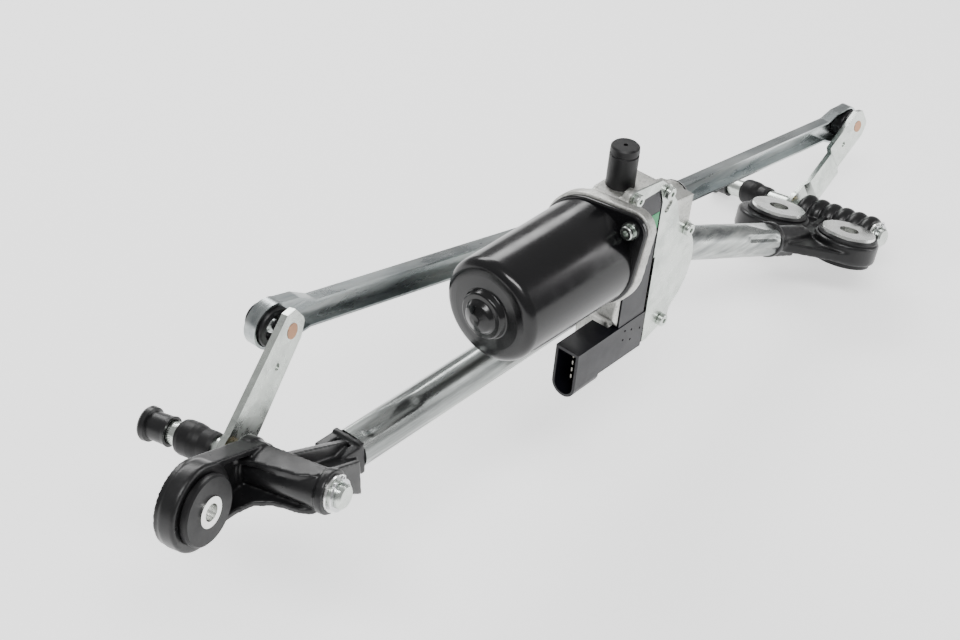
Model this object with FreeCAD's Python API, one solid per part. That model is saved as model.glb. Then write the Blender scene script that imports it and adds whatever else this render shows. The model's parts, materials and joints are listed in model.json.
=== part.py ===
import FreeCAD, Part
import math
import os

# Windshield wiper drive: tubular frame, two pivot housings, linkage and worm-gear motor.
# Origin: centre of the left mounting bush.  +Z is the direction of the mounting peg,
# +X runs along the motor and frame tube from the left pivot to the right pivot,
# +Y points outward, towards the wiper-arm ends of the spindles.  Sizes in millimetres.

# ---------------------------------------------------------------- driving dimensions
SPINDLE_D = 12.0
BUSH_CLEARANCE = 0.05
CONTACT_GAP = 0.3

LEFT_YAW, LEFT_TILT = 12.0, -5.0
LEFT_EYE = (-44.0, -10.0, 8.0)
LEFT_LEVER_R, LEFT_LEVER_ANGLE = 63.0, 52.5
RIGHT_PIVOT = (553.4, 23.4, -103.9)
RIGHT_YAW, RIGHT_TILT = -4.0, -10.0
RIGHT_LEVER_R, RIGHT_LEVER_ANGLE = 77.0, 60.8
LEVER_T = 3.5
BALL_OFFSET = 13.7
BALL_D = 11.0

TUBE_D, TUBE_WALL = 21.0, 1.5
TUBE_START = (106.0, 7.4, -37.6)
TUBE_BEND = (366.0, 7.4, -37.6)
TUBE_END = (465.5, -3.8, -75.0)
TUBE_BEND_R = 60.0

CAN_D, CAN_WALL = 57.0, 1.8
CAN_START, FLANGE_X = 171.0, 251.5
MOTOR_Y, MOTOR_Z = -16.3, 24.5
WHEEL_X, WHEEL_Z = 299.0, -9.0
WHEEL_R = 27.7
WHEEL_TEETH = 58
PITCH_R = 28.0
WORM_PITCH = 2 * math.pi * PITCH_R / WHEEL_TEETH
COVER_Y = -30.0
HOUSING_BACK_Y = -5.0
PEG_X, PEG_BASE_Z, PEG_TOP_Z = 270.6, 55.5, 78.4

CRANK_PIN = (337.6, -31.0)
CRANK_Y = 24.0
CRANK_T = 4.5
ROD_Y_LEFT, ROD_Y_RIGHT = 50.2, 38.2
ROD_H, ROD_DEPTH, ROD_WALL = 15.0, 7.0, 1.3
EYE_R = 12.2

V = FreeCAD.Vector
Y_AXIS = V(0, 1, 0)


# ---------------------------------------------------------------- helpers
def vec(p):
    return V(p[0], p[1], p[2])


def frame(origin, yaw=0.0, tilt=0.0):
    """Placement whose local Y is the outward axis after a yaw about Z and a tilt about X."""
    return FreeCAD.Placement(vec(origin), FreeCAD.Rotation(yaw, 0, tilt))


def axes_frame(origin, x_dir, z_hint):
    """Placement with local X along x_dir and local Z as close to z_hint as possible."""
    x = V(x_dir).normalize()
    y = z_hint.cross(x).normalize()
    z = x.cross(y)
    return FreeCAD.Placement(V(origin), FreeCAD.Rotation(x, y, z, "XYZ"))


def placed(shape, placement):
    result = shape.copy()
    result.Placement = placement.multiply(result.Placement)
    return result


def cyl_y(r, y0, y1, x=0.0, z=0.0):
    return Part.makeCylinder(r, y1 - y0, V(x, y0, z), Y_AXIS)


def cyl_x(r, x0, x1, y=0.0, z=0.0):
    return Part.makeCylinder(r, x1 - x0, V(x0, y, z), V(1, 0, 0))


def cyl_z(r, z0, z1, x=0.0, y=0.0):
    return Part.makeCylinder(r, z1 - z0, V(x, y, z0), V(0, 0, 1))


def cone_y(r0, r1, y0, y1):
    return Part.makeCone(r0, r1, y1 - y0, V(0, y0, 0), Y_AXIS)


def box(x0, x1, y0, y1, z0, z1):
    return Part.makeBox(x1 - x0, y1 - y0, z1 - z0, V(x0, y0, z0))


def revolve_y(profile):
    """Solid of revolution about local Y from (radius, y) points."""
    points = [V(r, y, 0) for r, y in profile]
    points.append(points[0])
    return Part.Face(Part.makePolygon(points)).revolve(V(0, 0, 0), Y_AXIS, 360)


def revolve_x(profile, y=0.0, z=0.0):
    """Solid of revolution about the X-parallel line through (y, z) from (x, radius) points."""
    points = [V(x, y, z + r) for x, r in profile]
    points.append(points[0])
    return Part.Face(Part.makePolygon(points)).revolve(V(0, y, z), V(1, 0, 0), 360)


def slab_xz(points, y0, y1):
    loop = [V(x, y0, z) for x, z in points]
    loop.append(loop[0])
    return Part.Face(Part.makePolygon(loop)).extrude(V(0, y1 - y0, 0))


def slab_xy(points, z0, z1):
    loop = [V(x, y, z0) for x, y in points]
    loop.append(loop[0])
    return Part.Face(Part.makePolygon(loop)).extrude(V(0, 0, z1 - z0))


def fuse(*shapes):
    result = shapes[0]
    if len(shapes) > 1:
        result = shapes[0].multiFuse(list(shapes[1:]))
    return result.removeSplitter()


def cut(shape, *tools):
    result = shape
    for tool in tools:
        result = result.cut(tool)
    return result


def round_edges(shape, radius, select):
    edges = [edge for edge in shape.Edges if select(edge)]
    try:
        rounded = shape.makeFillet(radius, edges)
        return rounded if rounded.isValid() and rounded.Volume > 0 else shape
    except Part.OCCError:
        return shape


def circle_edges(radius):
    def select(edge):
        curve = edge.Curve
        return isinstance(curve, Part.Circle) and abs(curve.Radius - radius) < 1e-6
    return select


def save(name, shape):
    shape.exportStep(os.path.join("parts", name + ".step"))


# ---------------------------------------------------------------- pivot frames
left_offset = frame((0, 0, 0), LEFT_YAW, LEFT_TILT).multVec(vec(LEFT_EYE))
LEFT = frame((-left_offset.x, -left_offset.y, -left_offset.z), LEFT_YAW, LEFT_TILT)
RIGHT = frame(RIGHT_PIVOT, RIGHT_YAW, RIGHT_TILT)


def lever_tip(r, angle):
    a = math.radians(angle)
    return r * math.sin(a), r * math.cos(a)


def ball_centre(pivot, r, angle):
    x, z = lever_tip(r, angle)
    return pivot.multVec(V(x, BALL_OFFSET, z))


LEFT_BALL = ball_centre(LEFT, LEFT_LEVER_R, LEFT_LEVER_ANGLE)
RIGHT_BALL = ball_centre(RIGHT, RIGHT_LEVER_R, RIGHT_LEVER_ANGLE)
PIN_LEFT = V(CRANK_PIN[0], ROD_Y_LEFT, CRANK_PIN[1])
PIN_RIGHT = V(CRANK_PIN[0], ROD_Y_RIGHT, CRANK_PIN[1])


# ---------------------------------------------------------------- spindles and what they carry
def spindle(inner, outer, groove_y):
    """Shaft with a circlip groove, a knurled cone and a threaded end."""
    r = SPINDLE_D / 2
    cone_start, cone_end = outer - 17, outer - 8
    body = revolve_y([
        (0, inner), (r - 1, inner), (r, inner + 1), (r, groove_y - 0.6), (r - 0.8, groove_y - 0.6),
        (r - 0.8, groove_y + 0.6), (r, groove_y + 0.6), (r, cone_start), (r - 0.9, cone_end),
        (4, cone_end), (4, outer - 1), (3.2, outer), (0, outer)])
    teeth = []
    for i in range(36):
        notch = box(r - 0.45, r + 1, cone_start + 0.5, cone_end + 0.1, -0.22, 0.22)
        notch.rotate(V(0, 0, 0), Y_AXIS, i * 10)
        teeth.append(notch)
    return body.cut(Part.makeCompound(teeth))


def transport_cap(outer):
    start, end = outer - 13, outer + 1.5
    return revolve_y([
        (7.5, start), (7.1, start + 2), (6.9, end - 4), (8.4, end - 3.4), (8.6, end - 1),
        (8.0, end), (0, end), (0, outer + 0.1), (SPINDLE_D / 2 + 0.05, outer + 0.1),
        (SPINDLE_D / 2 + 0.05, start)])


def shaft_collar(y0, y1):
    """Rubber splash collar with a thick outer bead and a thinner neck."""
    bore = SPINDLE_D / 2
    return revolve_y([
        (bore, y0), (7.2, y0), (7.6, y0 + 2), (7.6, y0 + 7), (8.3, y0 + 9.5), (8.7, y0 + 12),
        (8.7, y1 - 3), (8.2, y1 - 1), (7.2, y1), (bore, y1)])


def washer(r_out, r_in, y0, y1):
    return cyl_y(r_out, y0, y1).cut(cyl_y(r_in, y0, y1))


def circlip(y0, y1):
    ring = washer(7.8, SPINDLE_D / 2 - 0.8, y0, y1)
    gap = box(-2.2, 2.2, y0, y1, 0, 9)
    lugs = fuse(cyl_y(1.5, y0, y1, 3.2, 7.6), cyl_y(1.5, y0, y1, -3.2, 7.6))
    return fuse(ring.cut(gap), lugs.cut(fuse(cyl_y(0.7, y0, y1, 3.2, 7.6), cyl_y(0.7, y0, y1, -3.2, 7.6))))


def lever_outline(length, root_w, tip_w):
    """Plan outline of a lever pointing along local +Z: round root, straight sides, chamfered tip."""
    end = length + tip_w * 0.95
    left = V(-root_w, 0, 6)
    right = V(root_w, 0, 6)
    root = Part.Arc(left, V(0, 0, -root_w), right)
    points = [right, V(tip_w, 0, end - 8), V(tip_w - 3.5, 0, end - 1), V(tip_w - 6, 0, end),
              V(-tip_w + 4, 0, end), V(-tip_w, 0, end - 5), left]
    sides = [Part.makeLine(a, b) for a, b in zip(points, points[1:])]
    return Part.Wire([root.toShape()] + sides)


def lever_body(length, root_w, tip_w, steps):
    """Stamped lever; steps are (distance along the lever, front face level) pairs."""
    plan = Part.Face(lever_outline(length, root_w, tip_w)).extrude(V(0, 40, 0))
    plan.translate(V(0, -20, 0))
    front = [V(-30, level, z) for z, level in steps]
    back = [V(-30, level + LEVER_T, z) for z, level in reversed(steps)]
    loop = front + back + [front[0]]
    strip = Part.Face(Part.makePolygon(loop)).extrude(V(60, 0, 0))
    return plan.common(strip)


def aim(shape, angle):
    """Turn a lever drawn along +Z to its rest angle, measured from +Z towards +X."""
    turned = shape.copy()
    turned.rotate(V(0, 0, 0), Y_AXIS, angle)
    return turned


def lever_left():
    body = lever_body(LEFT_LEVER_R, 11.5, 9.6, [(-14, 0), (LEFT_LEVER_R + 14, 0)])
    body = cut(body, cyl_y(SPINDLE_D / 2, -1, 6), cyl_y(4.0, -1, 6, 0, LEFT_LEVER_R),
               cyl_y(1.8, -1, 0.8, 1.0, LEFT_LEVER_R - 18))
    return placed(aim(body, LEFT_LEVER_ANGLE), LEFT)


def lever_right():
    steps = [(-14, 0), (13, 0), (17, -3), (43, -3), (47, 0), (RIGHT_LEVER_R + 14, 0)]
    body = lever_body(RIGHT_LEVER_R, 10.0, 10.0, steps)
    body = cut(body, cyl_y(SPINDLE_D / 2, -1, 6), cyl_y(4.0, -1, 6, 0, RIGHT_LEVER_R),
               cyl_y(1.8, -1, 0.8, -1.0, RIGHT_LEVER_R - 18))
    return placed(aim(body, RIGHT_LEVER_ANGLE), RIGHT)


def lever_ball_stud(pivot, r, angle):
    """Riveted ball stud: flush rivet head, shoulder, neck and ball on the outward face."""
    x, z = lever_tip(r, angle)
    rivet = cyl_y(4.0, -0.25, LEVER_T, x, z)
    shoulder = cyl_y(5.2, LEVER_T, LEVER_T + 2.2, x, z)
    neck = cyl_y(3.0, LEVER_T + 2.2, BALL_OFFSET, x, z)
    ball = Part.makeSphere(BALL_D / 2, V(x, BALL_OFFSET, z))
    return placed(fuse(rivet, shoulder, neck, ball), pivot)


# ---------------------------------------------------------------- rods and ball sockets
SHOULDER_X, SHOULDER_H, NECK_X = 15.0, 11.4, 27.0


def rod_frame(start, end):
    return axes_frame(start, end.sub(start), V(0, 0, 1))


def rod_outline(length, inset):
    """Dog-bone outline: a round eye at each end, a wide shoulder, then a straight channel."""
    r = EYE_R - inset
    h = ROD_H / 2 - inset
    a = math.radians(75)
    dx, dz = r * math.cos(a), r * math.sin(a)
    half = [V(dx, 0, dz), V(SHOULDER_X, 0, SHOULDER_H - inset), V(NECK_X, 0, h)]
    upper = half + [V(length - p.x, 0, p.z) for p in reversed(half)]
    lower = [V(p.x, 0, -p.z) for p in reversed(upper)]
    edges = [Part.makeLine(a0, b0) for a0, b0 in zip(upper, upper[1:])]
    edges.append(Part.Arc(upper[-1], V(length + r, 0, 0), lower[0]).toShape())
    edges += [Part.makeLine(a0, b0) for a0, b0 in zip(lower, lower[1:])]
    edges.append(Part.Arc(lower[-1], V(-r, 0, 0), upper[0]).toShape())
    return Part.Face(Part.Wire(edges))


def link_rod(start, end, hole_r):
    """Pressed channel, open towards the motor side, with cupped eyes for the ball sockets."""
    length = end.sub(start).Length
    front, back = -ROD_DEPTH / 2, ROD_DEPTH / 2
    body = rod_outline(length, 0).extrude(V(0, ROD_DEPTH, 0))
    body.translate(V(0, front, 0))
    hollow = rod_outline(length, ROD_WALL).extrude(V(0, ROD_DEPTH - ROD_WALL, 0))
    hollow.translate(V(0, front, 0))
    holes = [cyl_y(hole_r, front, back + 1), cyl_y(hole_r, front, back + 1, length)]
    return placed(cut(body, hollow, *holes), rod_frame(start, end))


SOCKET_R, KNOB_R = 10.3, 7.2
SOCKET_FRONT = -5.6


def ball_socket(knob_end, open_back):
    """Plastic ball socket: disc in the rod eye, knob through the eye, spherical seat."""
    web_front = ROD_DEPTH / 2 - ROD_WALL
    disc = round_edges(cyl_y(SOCKET_R, SOCKET_FRONT, web_front), 1.2, circle_edges(SOCKET_R))
    knob = round_edges(cyl_y(KNOB_R, web_front, knob_end), 1.0, circle_edges(KNOB_R))
    seat = Part.makeSphere(BALL_D / 2 + 0.1)
    mouth = cone_y(7.0, 4.7, SOCKET_FRONT, -2.9)
    body = cut(fuse(disc, knob), seat, mouth)
    if open_back:
        body = body.cut(cyl_y(4.2, 0, knob_end))
    return body


def socket_at(start, end, distance, knob_end, open_back=False):
    body = ball_socket(knob_end, open_back)
    body.translate(V(distance, 0, 0))
    return placed(body, rod_frame(start, end))


def crank_stud():
    """Riveted foot of the double ball stud on the crank arm."""
    top = CRANK_Y + CRANK_T
    body = fuse(cyl_y(5.5, top, top + 2.2), cyl_y(3.2, top, top + 3.7))
    return placed(body, frame((CRANK_PIN[0], 0, CRANK_PIN[1])))


def crank_ball_right():
    """Lower ball of the double crank stud, with the neck that carries the upper ball."""
    body = fuse(Part.makeSphere(BALL_D / 2), cyl_y(3.2, 0, 6.0))
    return placed(body, frame(PIN_RIGHT))


def crank_ball_left():
    """Upper ball of the double crank stud, with a small turned flat on its outer end."""
    flat = cyl_y(3.2, 5.0, 7.0)
    return placed(Part.makeSphere(BALL_D / 2).cut(flat), frame(PIN_LEFT))


# ---------------------------------------------------------------- crank and output shaft
def crank_arm():
    dx, dz = CRANK_PIN[0] - WHEEL_X, CRANK_PIN[1] - WHEEL_Z
    length = math.hypot(dx, dz)
    hub_r, tip_r = 12.0, 9.0
    a = math.acos((hub_r - tip_r) / length)
    hub_edge = (hub_r * math.cos(a), hub_r * math.sin(a))
    tip_edge = (length + tip_r * math.cos(a), tip_r * math.sin(a))
    arm = slab_xz([hub_edge, tip_edge, (tip_edge[0], -tip_edge[1]), (hub_edge[0], -hub_edge[1])], 0, CRANK_T)
    body = fuse(arm, cyl_y(hub_r, 0, CRANK_T), cyl_y(tip_r, 0, CRANK_T, length))
    body = cut(body, cyl_y(5.0, -1, CRANK_T + 1))
    body.rotate(V(0, 0, 0), Y_AXIS, -math.degrees(math.atan2(dz, dx)))
    return placed(body, frame((WHEEL_X, CRANK_Y, WHEEL_Z)))


def hex_nut(size, bore, y0, y1):
    r = size / math.sqrt(3)
    corners = [(r * math.cos(math.radians(60 * i)), r * math.sin(math.radians(60 * i))) for i in range(6)]
    return slab_xz(corners, y0, y1).common(cone_y(r + 2, r - 0.6, y0 - 1, y1 + 0.4)).cut(cyl_y(bore, y0, y1))


def output_shaft():
    axis = frame((WHEEL_X, 0, WHEEL_Z))
    body = revolve_y([(0, -23), (5.5, -23), (6, -22.5), (6, CRANK_Y - 0.5), (5.0, CRANK_Y),
                      (5.0, CRANK_Y + CRANK_T), (4, CRANK_Y + CRANK_T), (4, 31.7), (3.5, 32.2), (0, 32.2)])
    return placed(body, axis)


def worm_wheel():
    """Moulded wheel with a solid hub, a web and a toothed rim."""
    blank = revolve_y([(6.0, -23), (10, -23), (10, -17.6), (22.5, -17.6), (22.5, -22), (WHEEL_R, -22),
                       (WHEEL_R, -11), (22.5, -11), (22.5, -15), (10, -15), (10, -10.5), (6.0, -10.5)])
    gashes = []
    for i in range(WHEEL_TEETH):
        gash = Part.makeCylinder(0.75, 14, V(WHEEL_R + 0.1, -23, 0), Y_AXIS)
        gash.rotate(V(0, 0, 0), Y_AXIS, i * 360 / WHEEL_TEETH)
        gashes.append(gash)
    return placed(blank.cut(Part.makeCompound(gashes)), frame((WHEEL_X, 0, WHEEL_Z)))


# ---------------------------------------------------------------- frame tube
def tube_path():
    """Centre line: straight run under the motor, one downward bend, straight run to the right pivot."""
    p0, p1, p2 = vec(TUBE_START), vec(TUBE_BEND), vec(TUBE_END)
    d0 = p1.sub(p0).normalize()
    d1 = p2.sub(p1).normalize()
    turn = d0.getAngle(d1)
    reach = TUBE_BEND_R * math.tan(turn / 2)
    a = p1.sub(d0.multiply(reach))
    b = p1.add(V(d1).multiply(reach))
    towards_centre = V(d1).sub(p1.sub(p0).normalize()).normalize()
    middle = p1.add(towards_centre.multiply(TUBE_BEND_R / math.cos(turn / 2) - TUBE_BEND_R))
    return Part.Wire([Part.makeLine(p0, a), Part.Arc(a, middle, b).toShape(), Part.makeLine(b, p2)])


def sweep(radius):
    ring = Part.Wire([Part.makeCircle(radius, vec(TUBE_START), V(1, 0, 0))])
    return tube_path().makePipeShell([ring], True, False)


def crimp_slot(start, direction, around, reach, radius, depth):
    """Long dent pressed into the tube wall; a capsule lying along the tube."""
    centre = V(start).add(V(around).multiply(TUBE_D / 2 + radius - depth))
    end = V(centre).add(V(direction).multiply(reach))
    shaft = Part.makeCylinder(radius, reach, centre, direction)
    return fuse(shaft, Part.makeSphere(radius, centre), Part.makeSphere(radius, end))


def frame_tube():
    tube = sweep(TUBE_D / 2).cut(sweep(TUBE_D / 2 - TUBE_WALL))
    left_dir = V(1, 0, 0)
    right_dir = vec(TUBE_BEND).sub(vec(TUBE_END)).normalize()
    dents = []
    for angle in (60, 150, 240, 330):
        a = math.radians(angle)
        around = V(0, math.cos(a), math.sin(a))
        dents.append(crimp_slot(V(TUBE_START[0] + 8, TUBE_START[1], TUBE_START[2]), left_dir, around, 24, 3.0, 0.9))
        side = right_dir.cross(V(0, 0, 1)).normalize()
        up = side.cross(right_dir)
        around = V(side).multiply(math.cos(a)).add(V(up).multiply(math.sin(a)))
        dents.append(crimp_slot(vec(TUBE_END).add(V(right_dir).multiply(8)), right_dir, around, 34, 3.0, 0.9))
    mouths = [box(TUBE_START[0] - 1, TUBE_START[0] + 5, TUBE_START[1] - 20, TUBE_START[1], TUBE_START[2] - 3,
                  TUBE_START[2] + 3)]
    return cut(tube, Part.makeCompound(dents), *mouths)


# ---------------------------------------------------------------- pivot housings
def spindle_bore(y0, y1):
    """Bore with bearing seats at both ends; the shaft runs free in between."""
    return fuse(cyl_y(SPINDLE_D / 2 + 1.8, y0, y0 + 14), cyl_y(SPINDLE_D / 2 + 1.8, y1 - 14, y1),
                cyl_y(SPINDLE_D / 2 + 0.8, y0, y1))


def bearing_pair(pivot, y0, y1):
    r_in = SPINDLE_D / 2 + BUSH_CLEARANCE
    r_out = SPINDLE_D / 2 + 1.8
    first = cyl_y(r_out, y0, y0 + 13.9).cut(cyl_y(r_in, y0, y0 + 14))
    second = cyl_y(r_out, y1 - 13.9, y1).cut(cyl_y(r_in, y1 - 14, y1))
    return Part.makeCompound([placed(first, pivot), placed(second, pivot)])


LEFT_BARREL = (-53.0, -3.5)
RIGHT_BARREL = (-62.0, -4.5)
EYE_RING_R = 20.5
EYE_SEAT_R = 15.2


def tangent_corners(first, second):
    """Four points where two straight lines touch both circles, given as (a, b, radius)."""
    (a0, b0, r0), (a1, b1, r1) = first, second
    along = math.atan2(b1 - b0, a1 - a0)
    lean = math.acos((r0 - r1) / math.hypot(a1 - a0, b1 - b0))
    corners = []
    for side in (1, -1):
        t = along + side * lean
        pair = [(a0 + r0 * math.cos(t), b0 + r0 * math.sin(t)), (a1 + r1 * math.cos(t), b1 + r1 * math.sin(t))]
        corners += pair if side == 1 else pair[::-1]
    return corners


def tangent_slab(first, second, y0, y1):
    """Slab around two circles (x, z, radius) and the straight lines tangent to both."""
    (x0, z0, r0), (x1, z1, r1) = first, second
    return fuse(slab_xz(tangent_corners(first, second), y0, y1), cyl_y(r0, y0, y1, x0, z0),
                cyl_y(r1, y0, y1, x1, z1))


def left_housing():
    y_in, y_out = LEFT_BARREL
    barrel = fuse(cyl_y(9.6, y_in, y_out), cyl_y(10.7, y_in, y_in + 4), cyl_y(11.8, y_out - 6, y_out - 0.3))
    ex, ez = LEFT_EYE[0], LEFT_EYE[2]
    ring = round_edges(cyl_y(EYE_RING_R, -15.5, -6.8, ex, ez), 1.5, circle_edges(EYE_RING_R))
    web = tangent_slab((ex, ez, EYE_RING_R - 0.5), (0, 0, 10.7), -8.8, -4.5)
    rim = tangent_slab((ex, ez, EYE_RING_R - 0.5), (0, 0, 10.7), -15.0, -6.0)
    rim = rim.cut(tangent_slab((ex, ez, EYE_RING_R - 3.8), (0, 0, 7.7), -16.0, -5.0))
    lower_trim = box(ex - 2, 12, -20, 0, -16, -9.6)
    flange_path = [(-30, -6), (-17, -6), (-11, -10), (-9, -18), (-8, -29), (-7, -40), (-4, -47), (4, -50),
                   (5, -8), (-6, -5)]
    roof = slab_xy(flange_path, 6.6, 9.8)
    foot = slab_xy([(-33, -15.4), (-24, -17.3), (-16, -21), (-12, -28), (-11, -34), (-10.5, -41), (-8, -47),
                    (0, -50), (3, -8), (-33, -7)], -9.6, -6.6)
    mouth = LEFT.inverse().multVec(vec(TUBE_START))
    axis = LEFT.inverse().Rotation.multVec(V(1, 0, 0))
    plug_frame = axes_frame(mouth, axis, V(0, 0, 1))
    tongue = cyl_x(TUBE_D / 2 - TUBE_WALL - 0.05, -2, 24).common(box(-3, 25, -12, 12, -7.4, 7.4))
    block = fuse(box(-15, -0.3, -9.6, 9.6, -7.6, 7.6), box(-3, -0.3, -9.6, 9.6, -9, 9))
    window = box(-11.5, -4.5, -4.5, 4.5, -10, 10)
    plug = placed(fuse(tongue, block).cut(window), plug_frame)
    deck = slab_xy([(3, -8), (mouth.x - 6, mouth.y + 9), (mouth.x - 3, mouth.y - 9), (3, -50)], -3, 0)
    deck_drop = FreeCAD.Placement(V(0, 0, -3), FreeCAD.Rotation(Y_AXIS, math.degrees(
        math.atan2(-mouth.z - 3, mouth.x))))
    deck = placed(deck, deck_drop)
    web_a = slab_xz([(4, 6), (mouth.x - 5, mouth.z + 9), (mouth.x - 5, mouth.z - 9), (30, -26), (4, -10)],
                    mouth.y - 2, mouth.y + 2)
    web_b = slab_xz([(4, 2), (mouth.x - 22, mouth.z + 16), (mouth.x - 22, mouth.z - 4), (4, -10)],
                    mouth.y - 20, mouth.y - 17)
    body = cut(fuse(ring, web, rim), lower_trim)
    body = fuse(body, barrel, roof, foot, plug, deck, web_a, web_b)
    body = cut(body, spindle_bore(y_in - 0.01, y_out + 0.01), cyl_y(EYE_SEAT_R, -20, 0, ex, ez))
    body = body.cut(cyl_y(17.0, -6.75, -2, ex, ez))
    return placed(body, LEFT)


def left_mount_parts():
    """Rubber bush in the left eye and the steel sleeve in the middle of it."""
    ex, ez = LEFT_EYE[0], LEFT_EYE[2]
    bush = revolve_y([(5.6, -19.6), (15.8, -19.6), (16.6, -18.9), (16.6, -16.2), (EYE_SEAT_R, -15.6),
                      (EYE_SEAT_R, -6.7), (16.6, -6.3), (16.4, -5.6), (5.6, -5.6)])
    sleeve = revolve_y([(4.2, -20.4), (7.3, -20.4), (7.3, -19.6), (5.6, -19.6), (5.6, -5.0), (4.2, -5.0)])
    spot = FreeCAD.Placement(V(ex, 0, ez), FreeCAD.Rotation())
    return placed(placed(bush, spot), LEFT), placed(placed(sleeve, spot), LEFT)


RIGHT_EYES = [(-41.0, -14.0, 20.0), (-28.0, -60.0, 12.3)]
RIGHT_EYE_NORMAL = (0.27, -0.09, 0.96)
GROMMET_R = 17.6
RIGHT_EYE_T = 13.5
SLEEVE_BORE_R = 6.4


def right_eye_frames():
    normal = vec(RIGHT_EYE_NORMAL).normalize()
    along = vec(RIGHT_EYES[0]).sub(vec(RIGHT_EYES[1]))
    along = along.sub(V(normal).multiply(along.dot(normal))).normalize()
    side = along.cross(normal)
    turn = FreeCAD.Rotation(side, along, normal, "XYZ")
    return [FreeCAD.Placement(vec(p), turn) for p in RIGHT_EYES]


def right_housing():
    y_in, y_out = RIGHT_BARREL
    barrel = cyl_y(9.3, y_in, y_out)
    ribs = []
    for i in range(6):
        y = y_out - 4.5 - i * (y_out - y_in - 9) / 5
        outer = 12.0 if i == 0 else 11.6
        ribs.append(revolve_y([(8, y - 4.4), (9.3, y - 4.4), (10.6, y - 3.4), (outer - 0.2, y - 1.6), (outer, y),
                               (outer - 0.2, y + 1.6), (10.6, y + 3.4), (9.3, y + 4.4), (8, y + 4.4)]))
    first, second = right_eye_frames()
    top, bottom = -2.4, -2.4 - RIGHT_EYE_T
    rings = []
    for place, r in ((first, 22.0), (first, 21.0), (second, 21.0)):
        ring = round_edges(cyl_z(r, bottom, top), 2.0, circle_edges(r))
        if r == 21.0 and place is first:
            ring.translate(V(-6.0, 3.0, 0))
        rings.append(placed(ring, place))
    span = first.Base.sub(second.Base).Length
    spine = placed(slab_xy([(-12, -8), (12, -8), (12, span + 8), (-12, span + 8)], bottom + 2, top - 2.5), second)
    flank = placed(slab_xy([(10, 0), (34, 4), (38, span - 6), (10, span)], -11, -7.5), second)
    keel = placed(slab_xy([(6, span * 0.45), (34, span * 0.45), (34, span * 0.45 + 4), (6, span * 0.45 + 4)],
                          -15, -3.5), second)
    shelf = placed(slab_xy([(-40, 27.5), (-18.1, -10.6), (6, 0), (6, 46), (-20, 46), (-38, 43.5)],
                           bottom + 1.5, -8), second)
    tube_dir = vec(TUBE_END).sub(vec(TUBE_BEND)).normalize()
    plug_frame = axes_frame(TUBE_END, tube_dir, V(0, 0, 1))
    plug = placed(fuse(cyl_x(TUBE_D / 2 - TUBE_WALL - 0.05, -24, 2), cyl_x(TUBE_D / 2 + 0.8, 0.2, 4),
                       cyl_x(8.2, 3, 41), box(3, 37, -2, 2, -12, 9)), plug_frame)
    plug = placed(plug, RIGHT.inverse())
    body = fuse(barrel, *ribs, *rings, spine, flank, keel, shelf, plug)
    body = cut(body, spindle_bore(y_in - 0.01, y_out + 0.01), cyl_y(SPINDLE_D / 2 + 0.8, y_in - 30, y_out + 30))
    for place in (first, second):
        body = body.cut(placed(cyl_z(GROMMET_R - 2.6, bottom - 5, top + 5), place))
        body = body.cut(placed(cyl_z(GROMMET_R + 2.2, top, top + 12), place))
        body = body.cut(placed(cyl_z(GROMMET_R + 1.1, bottom - 2.6, bottom), place))
    return placed(body, RIGHT)


def right_mount_parts():
    """Two rubber grommets and two flanged steel sleeves in the right housing."""
    grommets, sleeves = [], []
    top, bottom = -2.4, -2.4 - RIGHT_EYE_T
    seat = GROMMET_R - 2.6
    for place in right_eye_frames():
        rubber = [(8.0, bottom - 2.5), (GROMMET_R + 1, bottom - 2.5), (GROMMET_R + 1, bottom), (seat, bottom),
                  (seat, top), (GROMMET_R + 2, top), (GROMMET_R + 2, top + 1), (GROMMET_R + 1, 0), (8.0, 0)]
        steel = [(SLEEVE_BORE_R, bottom - 3.2), (8.0, bottom - 3.2), (8.0, 0), (GROMMET_R, 0),
                 (GROMMET_R - 0.4, 1.6), (SLEEVE_BORE_R, 1.6)]
        for profile, group in ((rubber, grommets), (steel, sleeves)):
            points = [V(r, 0, z) for r, z in profile]
            points.append(points[0])
            solid = Part.Face(Part.makePolygon(points)).revolve(V(0, 0, 0), V(0, 0, 1), 360)
            group.append(placed(placed(solid, place), RIGHT))
    return Part.makeCompound(grommets), Part.makeCompound(sleeves)


# ---------------------------------------------------------------- motor
CAN_R = CAN_D / 2


def motor_can():
    """Deep-drawn can: closed stepped end, rolled shoulder and a flange at the open end."""
    x0, x1 = CAN_START, FLANGE_X
    r = CAN_R
    t = CAN_WALL
    outer = [(x0 - 9.0, 0), (x0 - 8.6, 3.4), (x0 - 7.2, 7.2), (x0 - 5.4, 8.9), (x0 - 4.4, 9.2), (x0 - 4.2, 12.0),
             (x0 - 3.6, 12.8), (x0 - 0.4, 13.4), (x0, 16), (x0, r - 7), (x0 + 1.2, r - 3), (x0 + 4, r - 0.8),
             (x0 + 8, r), (x1, r), (x1, r - t), (x0 + 8.5, r - t), (x0 + 5, r - t - 1),
             (x0 + t + 0.6, r - t - 6), (x0 + t, 14), (x0 - 3.0, 8.4), (x0 - 3.2, 0)]
    shell = revolve_x(outer, MOTOR_Y, MOTOR_Z)
    flange = flange_plate(FLANGE_X - 2.5, FLANGE_X, 0)
    body = fuse(shell, flange.cut(cyl_x(r - t, FLANGE_X - 4, FLANGE_X + 1, MOTOR_Y, MOTOR_Z)))
    for sy, sz in ((-1, 1), (1, -1)):
        body = body.cut(cyl_x(2.5, FLANGE_X - 5, FLANGE_X + 1, MOTOR_Y + sy * EAR, MOTOR_Z + sz * EAR))
    return body


EAR = 24.2


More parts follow.
